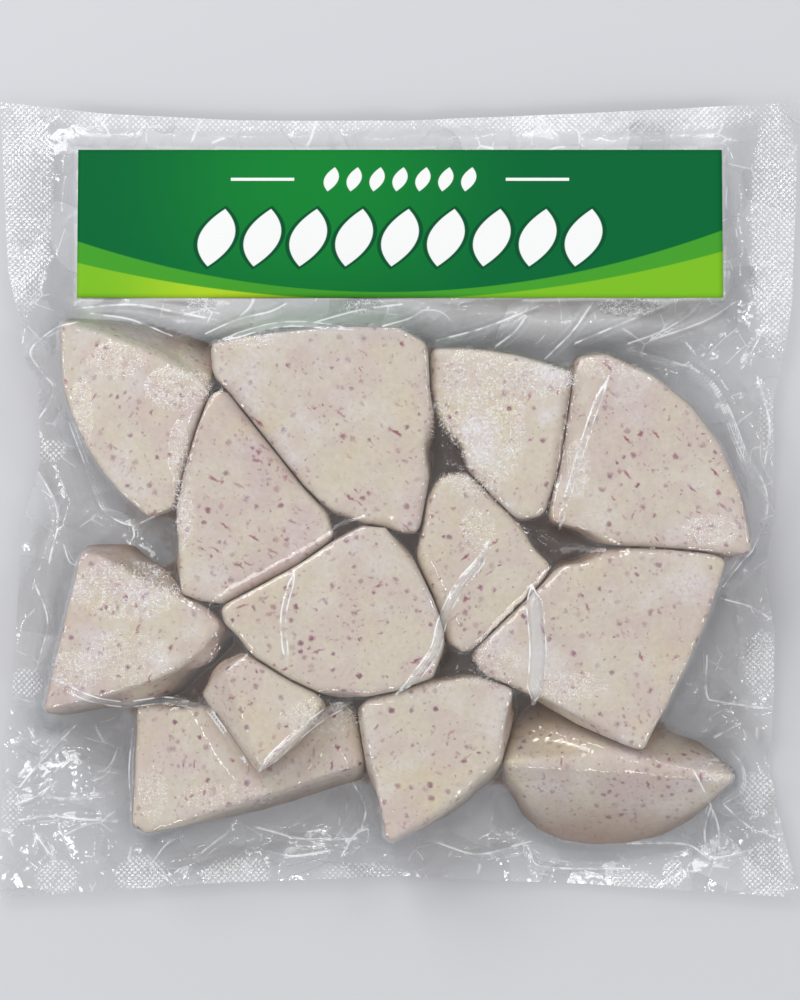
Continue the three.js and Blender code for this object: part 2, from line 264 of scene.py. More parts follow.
@dataclass(frozen=True)
class FleshGroup:
    """The flecks, fibres and frost that every chunk's material shares, and a painted shade that
    browns the chunks' lower sides and the faces close to a neighbouring chunk.
    """

    cream: Colour = linear(221, 208, 189)
    rose: Colour = linear(212, 190, 184)
    butter: Colour = linear(221, 204, 168)
    mauve: Colour = linear(138, 90, 110)
    berry: Colour = linear(150, 72, 100)
    plum: Colour = linear(150, 56, 96)
    ice: Colour = linear(236, 230, 233)
    # Painted shade colour: browns the chunks' lower sides and the faces close to a neighbouring
    # chunk.
    shade_brown: Colour = linear(138, 106, 82)
    fleck_cell: float = 2.6
    fibre_cell: float = 1.6
    speck_cell: float = 1.4

    def spots(self, graph: Graph, vector: object, cell: float, gate: object,
              small: float, large: float) -> bpy.types.NodeSocket:
        """Adds scattered spots, one at most in each cell.

        Args:
            graph: The graph to build in.
            vector: Coordinates in mm.
            cell: The cells' size in mm.
            gate: The share of cells left empty.
            small: The least radius, as a share of a cell.
            large: The most.

        Returns:
            A mask, 1 inside the spots.
        """
        cells = graph.node("ShaderNodeTexVoronoi", {"Vector": vector, "Scale": 1 / cell,
                                                    "Randomness": 1.0})
        luck = graph.node("ShaderNodeSeparateColor", {0: cells.outputs["Color"]})
        kept = graph.math("GREATER_THAN", luck.outputs[0], gate)
        radius = graph.ease(luck.outputs[1], 0.0, 1.0, small, large)
        inner = graph.math("MULTIPLY", radius, 0.25)
        near = graph.node("ShaderNodeMapRange", {"Value": cells.outputs["Distance"],
                                                 "From Min": inner, "From Max": radius,
                                                 "To Min": 1.0, "To Max": 0.0})
        near.interpolation_type = "SMOOTHSTEP"
        weight = graph.ease(luck.outputs[2], 0.0, 1.0, 0.35, 1.0)
        return graph.math("MULTIPLY", graph.math("MULTIPLY", near.outputs[0], kept), weight)

    def build(self) -> bpy.types.NodeTree:
        """Makes the group."""
        tree, graph, inputs, out = group_tree(
            "taro_flesh",
            {"Vector": "NodeSocketVector", "Grain": "NodeSocketVector", "Flecks": "NodeSocketFloat",
             "Fibres": "NodeSocketFloat", "Frost": "NodeSocketFloat", "Rose": "NodeSocketFloat",
             "Level": "NodeSocketFloat", "Seam": "NodeSocketFloat"},
            {"Colour": "NodeSocketColor", "Roughness": "NodeSocketFloat",
             "Height": "NodeSocketFloat"})
        place, grain = inputs["Vector"], inputs["Grain"]
        warp = graph.node("ShaderNodeTexNoise", {"Vector": place, "Scale": 0.9, "Detail": 2.0})
        bent = graph.node("ShaderNodeVectorMath", {0: warp.outputs["Color"], 1: (1.5, 1.5, 1.5),
                                                   2: grain}, operation="MULTIPLY_ADD").outputs[0]
        crowd = graph.ease(graph.noise(place, 0.1, 2.0), 0.38, 0.62, 0.3, 0.95)
        sparse = graph.math("SUBTRACT", 1.0, graph.math("MULTIPLY", inputs["Flecks"], crowd))
        sparse_fibres = graph.math("SUBTRACT", 1.25,
                                   graph.math("MULTIPLY", inputs["Fibres"], crowd))
        flecks = self.spots(graph, bent, self.fleck_cell, sparse, 0.18, 0.46)
        stretch = graph.node("ShaderNodeVectorMath", {0: bent, 1: (1.0, 0.22, 0.22)},
                             operation="MULTIPLY").outputs[0]
        fibres = self.spots(graph, stretch, self.fibre_cell, sparse_fibres, 0.14, 0.34)
        specks = self.spots(graph, bent, self.speck_cell, sparse, 0.16, 0.42)
        hue = graph.blend(graph.ease(graph.noise(place, 0.21, 1.0), 0.4, 0.6),
                          self.mauve, self.berry)
        broad = graph.noise(place, 0.05, 3.0)
        tone = graph.blend(graph.math("MULTIPLY", graph.ease(broad, 0.35, 0.7), inputs["Rose"]),
                           self.cream, self.rose)
        yellow = graph.ease(graph.noise(graph.node("ShaderNodeVectorMath", {
            0: place, 1: (37.0, 11.0, 5.0)}, operation="ADD").outputs[0], 0.055, 2.0), 0.5, 0.72)
        tone = graph.blend(graph.math("MULTIPLY", yellow, 0.55), tone, self.butter)
        mottle = graph.ease(graph.noise(place, 0.7, 4.0, 0.6), 0.3, 0.7, 0.93, 1.04)
        grey = graph.node("ShaderNodeCombineColor", {0: mottle, 1: mottle, 2: mottle})
        tone = graph.blend(1.0, tone, grey.outputs[0], "MULTIPLY")
        blush = graph.math("MULTIPLY", graph.ease(crowd, 0.5, 0.95), 0.35)
        tone = graph.blend(blush, tone, self.rose)
        tone = graph.blend(graph.math("MULTIPLY", specks, 0.6), tone, hue)
        tone = graph.blend(graph.math("MULTIPLY", flecks, 1.0, clamp=True), tone, hue)
        tone = graph.blend(graph.math("MULTIPLY", fibres, 0.95), tone, self.plum)
        patch = graph.ease(graph.noise(place, 0.075, 3.0, 0.55), 0.47, 0.66)
        dust = graph.ease(graph.noise(place, 1.1, 4.0, 0.7), 0.38, 0.62, 0.25, 1.0)
        frost = graph.math("MULTIPLY", graph.math("MULTIPLY", patch, dust), inputs["Frost"],
                           clamp=True)
        tone = graph.blend(frost, tone, self.ice)
        # Painted shade: the sides darken to brown below the chunks' tops, and faces near a
        # neighbouring chunk darken too.
        shade = graph.math("MAXIMUM", graph.ease(inputs["Level"], 22.5, 7.0, 0.0, 0.8),
                           graph.math("MULTIPLY", inputs["Seam"], 0.5))
        tone = graph.blend(shade, tone, self.shade_brown)
        graph.feed(out.inputs["Colour"], tone)
        graph.feed(out.inputs["Roughness"], graph.math("ADD", 0.42, graph.math(
            "MULTIPLY", frost, 0.25)))
        rough = graph.noise(place, 0.9, 4.0, 0.6)
        lumps = graph.noise(place, 0.22, 2.0)
        graph.feed(out.inputs["Height"], graph.math("ADD", graph.math(
            "MULTIPLY", rough, graph.math("MULTIPLY_ADD", frost, 0.3, 0.12)), lumps))
        return tree


@dataclass(frozen=True)
class FleshFinish:
    """One chunk's share of the flesh: how flecked and frosted it is, and how its grain runs."""

    flecks: float = 1.25
    fibres: float = 1.15
    frost: float = 0.55
    rose: float = 0.6
    grain: float = 0.0

    def material(self, name: str, group: bpy.types.NodeTree, shift: float) -> bpy.types.Material:
        """Makes the chunk's material.

        Args:
            name: The material's name.
            group: The shared flesh group.
            shift: Moves the pattern, in mm, so that no two chunks have the same one.

        Returns:
            The material.
        """
        material, graph, out = new_material(name)
        place = graph.millimetres()
        level = graph.node("ShaderNodeSeparateXYZ", {0: place}).outputs[2]
        moved = graph.node("ShaderNodeMapping", {"Vector": place, "Location": (shift, -shift, 0)})
        turned = graph.node("ShaderNodeMapping", {
            "Vector": moved.outputs[0], "Rotation": (0.25, 0.2, math.radians(self.grain))})
        flesh = graph.node("ShaderNodeGroup", node_tree=group)
        # The height and the seam attribute drive the painted shade: lower points and points near a
        # neighbouring chunk turn brown.
        for key, value in {"Vector": moved.outputs[0], "Grain": turned.outputs[0],
                           "Flecks": self.flecks, "Fibres": self.fibres, "Frost": self.frost,
                           "Rose": self.rose, "Level": level,
                           "Seam": graph.attribute("seam")}.items():
            graph.feed(flesh.inputs[key], value)
        bump = graph.node("ShaderNodeBump", {"Strength": 0.3, "Distance": 0.2 * MM,
                                             "Height": flesh.outputs["Height"]})
        shader = graph.node("ShaderNodeBsdfPrincipled", {
            "Base Color": flesh.outputs["Colour"], "Roughness": flesh.outputs["Roughness"],
            "Normal": bump.outputs[0], "Specular IOR Level": 0.35})
        graph.feed(out.inputs["Surface"], shader.outputs[0])
        return material


@dataclass
class Chunks:
    """The thirteen chunks, rounded and roughened from their CAD solids."""

    voxel: float = 0.8
    rounding: int = 3
    growth: float = 0.45
    waviness: float = 0.22
    seam: float = 0.14
    shade_reach: tuple[float, float] = (4.6, 1.0)
    lean: float = 2.3
    evening: int = 24
    neighbour_reach: float = 8.0
    lump_sizes: tuple[float, float] = (9.0, 3.0)
    small_lump_share: float = 0.4
    least_growth: float = 0.1
    finishes: dict[str, FleshFinish] = field(default_factory=lambda: {
        "chunk_01": FleshFinish(1.3, 1.2, 0.5, 0.7, 40),
        "chunk_02": FleshFinish(1.15, 1.15, 0.6, 0.5, -50),
        "chunk_03": FleshFinish(1.0, 0.95, 1.0, 0.1, 20),
        "chunk_04": FleshFinish(1.25, 1.2, 0.45, 0.6, -45),
        "chunk_05": FleshFinish(1.45, 1.4, 0.5, 0.9, -60),
        "chunk_06": FleshFinish(1.2, 1.15, 0.4, 0.5, 70),
        "chunk_07": FleshFinish(1.05, 1.0, 0.1, 0.0, 50),
        "chunk_08": FleshFinish(1.25, 1.15, 0.7, 0.5, -20),
        "chunk_09": FleshFinish(1.5, 1.2, 0.7, 0.9, 30),
        "chunk_10": FleshFinish(1.2, 1.1, 0.3, 0.4, 10),
        "chunk_11": FleshFinish(1.2, 1.1, 0.2, 0.2, 75),
        "chunk_12": FleshFinish(1.3, 1.2, 0.5, 0.6, 55),
        "chunk_13": FleshFinish(1.4, 1.2, 0.5, 0.8, 0),
    })
    pieces: list[bpy.types.Object] = field(default_factory=list)

    def rounded(self, node: str) -> bpy.types.Object:
        """Copies a CAD chunk with its knife edges softened."""
        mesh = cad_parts[node].data.copy()
        mesh.materials.clear()
        shape = bmesh.new()
        shape.from_mesh(mesh)
        bmesh.ops.remove_doubles(shape, verts=shape.verts, dist=0.01 * MM)
        shape.to_mesh(mesh)
        shape.free()
        piece = new_object(node.replace("chunk", "taro"), mesh)
        remesh = piece.modifiers.new("skin", "REMESH")
        remesh.mode = "VOXEL"
        remesh.voxel_size = self.voxel * MM
        relax = piece.modifiers.new("soften", "SMOOTH")
        relax.factor = 0.5
        relax.iterations = self.rounding
        apply_modifiers(piece)
        return piece

    def evened(self, moves: np.ndarray, edges: np.ndarray) -> np.ndarray:
        """Averages each vertex's move with its neighbours' again and again.

        Args:
            moves: One move for each vertex.
            edges: The two vertices of each edge.

        Returns:
            The evened moves.
        """
        ends, others = edges.ravel(), edges[:, ::-1].ravel()
        count = np.maximum(np.bincount(ends, minlength=len(moves)), 1)
        for _ in range(self.evening):
            for axis in range(3):
                total = np.bincount(ends, weights=moves[others, axis], minlength=len(moves))
                moves[:, axis] = (moves[:, axis] + total / count) / 2
        return moves

    def press(self, piece: bpy.types.Object, others: BVHTree) -> None:
        """Makes a chunk's faces uneven and leans its sides towards its neighbours.

        Args:
            piece: The chunk.
            others: The surfaces of all the other chunks before they are pressed.
        """
        shape = bmesh.new()
        shape.from_mesh(piece.data)
        shape.normal_update()
        apart = np.full(len(shape.verts), self.neighbour_reach + 1)
        broad, fine = (size * MM for size in self.lump_sizes)
        leans = np.zeros((len(shape.verts), 3))
        swells = np.zeros((len(shape.verts), 3))
        for vert in shape.verts:
            lump = (noise.noise(vert.co / broad)
                    + self.small_lump_share * noise.noise(vert.co / fine))
            grown = (self.growth + lump * self.waviness) * MM
            near, _, _, between = others.find_nearest(vert.co, self.neighbour_reach * MM)
            if near:
                apart[vert.index] = between / MM
                way = near - vert.co
                way.z = 0
                gap = way.length
                facing = max(0.0, vert.normal.dot(way.normalized()))
                room = max(0.0, gap / 2 - self.seam * MM)
                grown = min(grown, max(room, self.least_growth * MM))
                leans[vert.index] = way.normalized() * (facing * max(0.0, min(
                    room - grown, self.lean * MM)))
            swells[vert.index] = vert.normal * grown
        leans = self.evened(leans, np.array([[v.index for v in e.verts] for e in shape.edges]))
        for vert, move in zip(shape.verts, leans + swells):
            vert.co += Vector(move)
        shape.to_mesh(piece.data)
        shape.free()
        # Closeness to a neighbouring chunk, which the flesh material turns into painted shade.
        add_attribute(piece.data, "seam", smooth(*self.shade_reach, apart))
        shade_smooth(piece.data)

    def build(self) -> None:
        """Makes and dresses all the chunks."""
        group = FleshGroup().build()
        made = [self.rounded(node) for node in self.finishes]
        walls = [chunk_surface([other for other in made if other is not piece]) for piece in made]
        for number, (node, finish) in enumerate(self.finishes.items()):
            piece = made[number]
            self.press(piece, walls[number])
            piece.data.materials.append(finish.material(f"flesh_{node[-2:]}", group, 83.0 * number))
            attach(piece, "root")
            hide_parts(node)
            self.pieces.append(piece)
            log.info("%s: %d faces", piece.name, len(piece.data.polygons))


# ---- Film ---------------------------------------------------------------------------------


@dataclass(frozen=True)
class Pleat:
    """A tuck of film that stands up from the chunks along a curve."""

    path: Path
    width: float = 2.0
    height: float = 0.9
    milk: float = 0.12


@dataclass(frozen=True)
class Patch:
    """A soft oval region of the film, in mm."""

    x: float
    y: float
    reach: float
    rise: float
    weight: float = 1.0


@dataclass
class FilmField:
    """The heights of both webs of film over one grid, in mm."""

    columns: int = 290
    rows: int = 290
    left: Path = ((-105, -105.5), (-64, -104), (-53, -102), (-27, -100.5), (-8, -99.5), (10, -94.5),
                  (32, -95.5), (38, -99.5), (47, -100), (60, -103), (105, -105))
    right: Path = ((-105, 105.5), (-87, 100.5), (-69, 97), (-55, 98), (-35, 98.5), (-21, 96),
                   (-4, 98.5), (26, 98), (38, 101), (52, 103), (105, 105))
    top: Path = ((-105, 104.5), (-78, 101.5), (-42, 99.7), (0, 99.6), (52, 101.7), (105, 104.5))
    bottom: Path = ((-105, -104.5), (-46, -100.5), (0, -98.8), (50, -101), (105, -104.5))
    seal: float = 8.5
    film_gap: float = 0.12
    pull: float = 0.3
    settling: int = 1600
    margin_rise: float = 4.5
    enclosed: float = 4.5
    crease_width: float = 1.5
    crease_height: float = 1.0
    half_width: float = 105.0
    half_length: float = 104.0
    crumples: tuple[tuple[float, float], ...] = ((17.0, 1.7), (9.0, 0.6), (3.6, 0.12))
    seed: int = 7
    far: float = 9.0
    chunks_end: float = 47.0
    pleats: tuple[Pleat, ...] = (
        Pleat(((54, 32), (50.5, 24), (47, 13.5), (43, 0), (41, -8)), 1.6, 0.5, 0.2),
        Pleat(((23, -10), (20.5, -16), (15.5, -22), (11, -31), (9, -38.5), (4, -45.5), (-1, -50)),
              2.4, 0.7, 0.5),
        Pleat(((34, -22), (35, -30), (35.6, -40), (34.5, -53)), 4.2, 0.9, 0.7),
        Pleat(((-27, -18), (-30, -30), (-29, -43)), 1.4, 0.4, 0.15),
        Pleat(((-89, -46), (-82, -50.5), (-72, -53), (-60, -52), (-48, -55)), 1.6, 0.7, 0.3),
        Pleat(((-36.5, -70), (-27.5, -61.5), (-19, -55), (-12, -52)), 2.4, 0.8, 0.35),
        Pleat(((-53.5, -49.5), (-47.5, -57), (-39, -69)), 1.2, 0.5, 0.2),
        Pleat(((-12, 44), (-30, 45.5), (-47, 41)), 1.4, 0.6, 0.25),
    )
    creases: tuple[Path, ...] = (
        ((-84, 46), (-91, 44), (-97, 39), (-93.5, 33), (-90.5, 28.5), (-96, 20)),
        ((-86, 20), (-83, 12), (-80, 3), (-77, -3), (-70, -6.5), (-64, -4.5)),
        ((-70, -5.5), (-69, -9), (-70, -11)),
        ((-88, -12), (-86, -16), (-83, -17)),
        ((-85.4, -59.5), (-93, -67), (-99.5, -74.8)),
        ((-100.6, -79.8), (-95, -77.5), (-90.5, -74.2)),
        ((-99.5, -84), (-92, -83), (-84.3, -83.8), (-74.7, -84.4)),
        ((-93.9, -77.9), (-86, -78.5), (-78.1, -78)),
        ((-80, -73.6), (-77, -71.9), (-74.4, -66.3)),
        ((-91, -94.5), (-95.5, -88)),
        ((-65, -95), (-61, -90), (-57, -88)),
        ((-54, -94), (-50, -91), (-47, -88.5)),
        ((-69.5, -60), (-70.5, -70), (-70, -80)),
        ((60, 39), (72, 36), (80, 33), (86, 25), (91, 12), (96, 3), (95.5, -6), (88, -17),
         (84, -22)),
        ((76, 36), (83, 28), (88, 15), (92, 6)),
        ((85, -26), (92, -28), (97, -31)),
        ((80, -41), (80.5, -51), (84, -53), (99, -55)),
        ((83, -62), (86, -60.5), (89, -59)),
        ((87, -66), (90, -70), (90, -76), (85, -79)),
        ((60, -90), (75, -90.5), (82, -94), (92, -92)),
        ((85, -80), (92, -86), (100, -89)),
        ((81, -80), (80, -87), (81, -94)),
        ((-84, 50), (-70, 51), (-58, 49), (-48, 47)),
        ((-50, 43.5), (-42, 47), (-34, 49), (-30, 51)),
        ((25, 40), (30, 44), (33, 48)),
        ((60, 41), (68, 44), (75, 48), (78, 51)),
        ((66, 42), (80, 47), (88, 52)),
        ((90, 35), (93, 40), (95, 44)),
        ((-38, -86), (-26, -89), (-12, -89)),
        ((34, -92), (38, -96.5), (60, -97)),
        ((8, -89), (20, -93), (34, -90)),
        ((-60, 43), (-70, 47), (-80, 48.5)),
        ((-22, 46), (-10, 49.5), (0, 51)),
        ((-4, 45), (2, 47), (7, 50)),
        ((10, 41.5), (22, 45), (37, 51)),
        ((38, 37), (45, 44), (50, 51)),
        ((46, 41), (60, 47), (72, 52)),
        ((-36, -92), (-28, -93.5), (-18, -92)),
        ((-12, -74), (-9, -80), (-10, -86)),
        ((-15, -93), (-12, -88), (-9, -86)),
        ((-97, 11), (-90, -3), (-92, -16)),
        ((-96, -22), (-92, -32), (-95, -44)),
        ((94, 32), (97, 20), (96, 10)),
        ((76, -70), (83, -84), (84, -92)),
    )
    # Places where the seal's embossing is pressed deeper and painted sparkles are drawn on it.
    stamps: tuple[Patch, ...] = (
        Patch(-99, 80, 8, 31), Patch(98.5, 72, 6.5, 34), Patch(-40, 101, 62, 4.5, 0.5),
        Patch(50, 101, 50, 4.5, 0.6), Patch(-98, -48, 5, 4, 0.8), Patch(-92, 13, 4.5, 3, 0.9),
        Patch(-102, -81, 3, 6, 0.5), Patch(-90, -99, 6, 4.5, 0.7), Patch(-68, -98.5, 7, 5, 0.9),
        Patch(-43, -98.5, 9, 5, 0.9), Patch(-10, -99, 12, 4, 0.4), Patch(62, -101, 7, 3.5, 0.7),
        Patch(72, -98, 3, 4, 0.6), Patch(95, -43, 5, 9), Patch(94, -77, 5, 6, 0.9),
        Patch(96.5, -97, 7, 8), Patch(97, 20, 3, 8, 0.4),
    )
    # Places where the film has a gritty bump and painted glint curls over the chunks.
    glints: tuple[Patch, ...] = (
        Patch(20, 20, 13, 20), Patch(34, 31, 12, 5), Patch(-57, 29, 9, 6, 0.9),
        Patch(-73, 36, 8, 5, 0.5), Patch(-70, -23, 14, 8), Patch(-84, -44, 8, 5, 0.8),
        Patch(-70, -40, 12, 8, 0.35), Patch(-56, -2, 3, 11, 0.9), Patch(-57, 13, 2.5, 8, 0.6),
        Patch(-82, 22, 3, 10, 0.5), Patch(44, -48, 10, 4, 0.6), Patch(80, -8, 8, 4, 0.6),
        Patch(46, 8, 3, 8, 0.8), Patch(83, -70, 6, 4, 0.7), Patch(-52, 51, 4, 2.5),
        Patch(-10, 50.5, 5, 2, 0.8), Patch(60, 50.5, 9, 2.5), Patch(20, -8, 5, 6, 0.5),
        Patch(-20, -56, 12, 5, 0.5), Patch(-45, -77, 14, 4, 0.4), Patch(22, -42, 10, 6, 0.4),
        Patch(-40, 42, 10, 3, 0.4), Patch(55, 34, 10, 3, 0.5), Patch(-64, -76, 4, 8, 0.4),
    )

    def __post_init__(self) -> None:
        """Lays out the grid inside the pouch's outline."""
        u, v = np.meshgrid(np.linspace(-1, 1, self.columns), np.linspace(-1, 1, self.rows))
        side, end = self.half_width, self.half_length
        self.x = (self.along(self.left, v * end) * (1 - u) + self.along(self.right, v * end)
                  * (1 + u)) / 2
        self.y = (self.along(self.bottom, u * side) * (1 - v) + self.along(self.top, u * side)
                  * (1 + v)) / 2
        self.edge = np.minimum(np.minimum(1 - u, 1 + u) * 100, np.minimum(1 - v, 1 + v) * 100)

    @staticmethod
    def along(path: Path, place: np.ndarray) -> np.ndarray:
        """How far out an edge lies at places along it."""
        return np.interp(place, [p[0] for p in path], [p[1] for p in path])

    def cast(self, tree: BVHTree, from_above: bool) -> np.ndarray:
        """Heights of a surface over the grid, seen from above or below; nan where there is none."""
        start, way = (0.1, -1.0) if from_above else (-0.1, 1.0)
        found = np.full(self.x.shape, np.nan)
        for j in range(self.rows):
            for i in range(self.columns):
                hit = tree.ray_cast(Vector((self.x[j, i] * MM, self.y[j, i] * MM, start)),
                                    Vector((0, 0, way)))[0]
                if hit:
                    found[j, i] = hit.z / MM
        return found

    def distance(self, covered: np.ndarray) -> np.ndarray:
        """How far each grid point is from the nearest chunk, in mm."""
        edge = covered & ~(np.roll(covered, 1, 0) & np.roll(covered, -1, 0)
                           & np.roll(covered, 1, 1) & np.roll(covered, -1, 1))
        places = np.argwhere(edge)
        tree = kdtree.KDTree(len(places))
        for n, (j, i) in enumerate(places):
            tree.insert((self.x[j, i], self.y[j, i], 0), n)
        tree.balance()
        found = np.zeros(self.x.shape)
        for j, i in np.argwhere(~covered):
            found[j, i] = tree.find((self.x[j, i], self.y[j, i], 0))[2]
        return found

    def facets(self, points: list[Vector], heights: list[float]) -> np.ndarray:
        """Heights of flat facets between scattered points, over the grid."""
        out = delaunay_2d_cdt(points, [], [], 0, 1e-5)
        corners = [Vector((p.x, p.y, heights[source[0]])) for p, source in zip(out[0], out[3])]
        tree = BVHTree.FromPolygons(corners, out[2])
        found = np.zeros(self.x.shape)
        for j in range(self.rows):
            for i in range(self.columns):
                hit = tree.ray_cast(Vector((self.x[j, i], self.y[j, i], 50)), Vector((0, 0, -1)))[0]
                found[j, i] = hit.z if hit else 0.0
        return found

    def crumple(self, chance: random.Random, spacing: float, height: float) -> np.ndarray:
        """A field of sharp-edged facets.

        Args:
            chance: The source of randomness.
            spacing: The usual distance between facet corners, in mm.
            height: How far the corners stand up or down, in mm.

        Returns:
            The field's heights over the grid, in mm.
        """
        reach = 112.0
        count = round((2 * reach / spacing) ** 2)
        points = [Vector((chance.uniform(-reach, reach), chance.uniform(-reach, reach)))
                  for _ in range(count)]
        heights = [chance.choice((-1, 1)) * chance.uniform(0.3, 1.0) * height for _ in points]
        return self.facets(points, heights)

    def near_path(self, path: Path) -> tuple[np.ndarray, np.ndarray, np.ndarray]:
        """Where each grid point lies against a curve.

        Args:
            path: The curve's places, in mm.

        Returns:
            The distance from the curve, the distance to its left or right with a sign, both in mm,
            and a share that falls from 1 in its middle to 0 at its ends.
        """
        places = curve_points(path, 0.6)
        ways = np.gradient(places, axis=0)
        ways /= np.linalg.norm(ways, axis=1)[:, None]
        tree = kdtree.KDTree(len(places))
        for n, (x, y) in enumerate(places):
            tree.insert((x, y, 0), n)
        tree.balance()
        low, high = places.min(0) - 6, places.max(0) + 6
        away = np.full(self.x.shape, 99.0)
        side = np.full(self.x.shape, 99.0)
        share = np.zeros(self.x.shape)
        near = (self.x > low[0]) & (self.x < high[0]) & (self.y > low[1]) & (self.y < high[1])
        for j, i in np.argwhere(near):
            at = (self.x[j, i], self.y[j, i], 0)
            _, n, away[j, i] = tree.find(at)
            side[j, i] = ways[n, 0] * (at[1] - places[n, 1]) - ways[n, 1] * (at[0] - places[n, 0])
            share[j, i] = min(n, len(places) - 1 - n) / (len(places) - 1) * 2
        return away, side, share

    def spread(self, patches: tuple[Patch, ...]) -> np.ndarray:
        """A mask that is 1 inside the patches and fades out across their edges."""
        found = np.zeros(self.x.shape)
        for patch in patches:
            out = np.hypot((self.x - patch.x) / patch.reach, (self.y - patch.y) / patch.rise)
            found = np.maximum(found, patch.weight * smooth(1.1, 0.75, out))
        return found

    def tucks(self) -> tuple[np.ndarray, dict[str, np.ndarray]]:
        """Raises the pleats and creases.

        Returns:
            How far they stand up over the grid, in mm, and the masks that go with them: how milky
            the pleats are, how far away their rims are, and the distances from the nearest crease
            with a sign and without one.
        """
        tuck, milk = np.zeros(self.x.shape), np.zeros(self.x.shape)
        ridge, crest, beside = (np.full(self.x.shape, self.far) for _ in range(3))
        for pleat in self.pleats:
            away, _, share = self.near_path(pleat.path)
            half = pleat.width / 2 * (0.15 + 0.85 * smooth(0, 0.35, share))
            tent = np.clip(1 - away / half, 0, 1)
            tuck = np.maximum(tuck, pleat.height * smooth(0, 0.5, tent))
            ridge = np.minimum(ridge, away - half)
            milk = np.maximum(milk, pleat.milk * smooth(0, 0.4, tent))
        for path in self.creases:
            away, side, share = self.near_path(path)
            tent = np.clip(1 - away / self.crease_width, 0, 1) * smooth(0, 0.2, share)
            tuck = np.maximum(tuck, self.crease_height * tent)
            closer = away < beside
            beside = np.where(closer, away, beside)
            crest = np.where(closer, side, crest)
        return tuck, {"milk": milk, "ridge": ridge, "crest": crest, "beside": beside}

    def settle(self, sheet: np.ndarray, lower: np.ndarray, held: np.ndarray) -> None:
        """Draws a web down tight over what is under it.

        Args:
            sheet: The web's heights over the grid, in mm, which are changed.
            lower: The heights it can't go below.
            held: Where it doesn't move.
        """
        spacing = 2 * self.half_width / self.columns
        middle = (slice(1, -1), slice(1, -1))
        for _ in range(self.settling):
            around = (sheet[1:-1, :-2] + sheet[1:-1, 2:] + sheet[:-2, 1:-1] + sheet[2:, 1:-1]) / 4
            pulled = around - self.pull * spacing * spacing / 4
            sheet[middle] = np.where(held[middle], sheet[middle],
                                     np.maximum(lower[middle], pulled))

    def bend(self) -> np.ndarray:
        """How sharply the front web bends over the grid."""
        front = self.front
        found = np.zeros(self.x.shape)
        found[1:-1, 1:-1] = np.abs(4 * front[1:-1, 1:-1] - front[1:-1, :-2] - front[1:-1, 2:]
                                   - front[:-2, 1:-1] - front[2:, 1:-1])
        return found

    def solve(self, chunks: BVHTree, label_plane: np.ndarray, under_label: np.ndarray) -> None:
        """Finds both webs' heights and the masks that their material reads.

        Args:
            chunks: The chunks' surfaces.
            label_plane: Height of the label's bed over the grid, in mm.
            under_label: Where the film is held to that bed.
        """
        chance = random.Random(self.seed)
        roof = self.cast(chunks, True)
        covered = ~np.isnan(roof)
        roof = np.where(covered, roof, -1.0)
        grown = roof.copy()
        for shift in ((1, 0), (-1, 0), (0, 1), (0, -1)):
            grown = np.maximum(grown, np.roll(roof, shift, (0, 1)))
        away = self.distance(covered)
        # Gaps closed in by chunks, where the film's material paints brown shade.
        between = smooth(0, 1, self.distance(away > self.enclosed) - self.enclosed) * (1 - covered)
        loose = smooth(0.5, 7.0, away)
        seal = smooth(self.seal + 0.6, self.seal - 0.6, self.edge)
        big, middle, small = (self.crumple(chance, *scale) for scale in self.crumples)
        calm = 1 - 0.55 * seal
        crumple = (big + middle) * loose * calm + small * (0.15 + 0.85 * loose)
        base = self.margin_rise * smooth(3, 16, away)
        back = np.maximum(base + crumple * smooth(2, 8, away), 0.0) + 0.05
        floor = back + self.film_gap
        lower = np.maximum(floor, grown + self.film_gap)
        tuck, folds = self.tucks()
        sheet = np.where(under_label, np.maximum(label_plane, floor), lower)
        held = under_label | (self.edge < 0.01)
        self.settle(sheet, lower, held)
        lifted = smooth(0.4, 3.0, sheet - floor) * (1 - smooth(1.5, 0.3, sheet - grown))
        front = sheet + crumple * 0.45 * lifted + small * 0.22 * covered + tuck
        front = np.where(under_label, np.minimum(front, label_plane), front)
        self.front = np.maximum(front, lower)
        self.back = back
        # Whiter where the loose film bends sharply.
        sharp = np.clip((self.bend() - 0.12) * 1.2, 0, 1) * (1 - covered)
        # Painted light: a milky band across the film from the chunks' ends towards the label,
        # lightening the shade under the label's edge.
        painted_light_band = smooth(self.chunks_end - 8, self.chunks_end, self.y)
        painted_light_band *= smooth(92.0, 80.0, np.abs(self.x))
        painted_light_band *= 1 - 0.45 * covered
        # Milky pleats, the whiter sharp bends and the painted light band, together.
        fold_and_light = np.clip(folds.pop("milk") + 0.25 * sharp + 0.7 * painted_light_band, 0, 1)
        clings = np.maximum(covered, self.y > self.chunks_end)
        self.masks = {"seal": seal, "loose": loose, "fold_and_light": fold_and_light, "between": between,
                      "stamp": self.spread(self.stamps),
                      "glint": self.spread(self.glints) * clings, **folds}


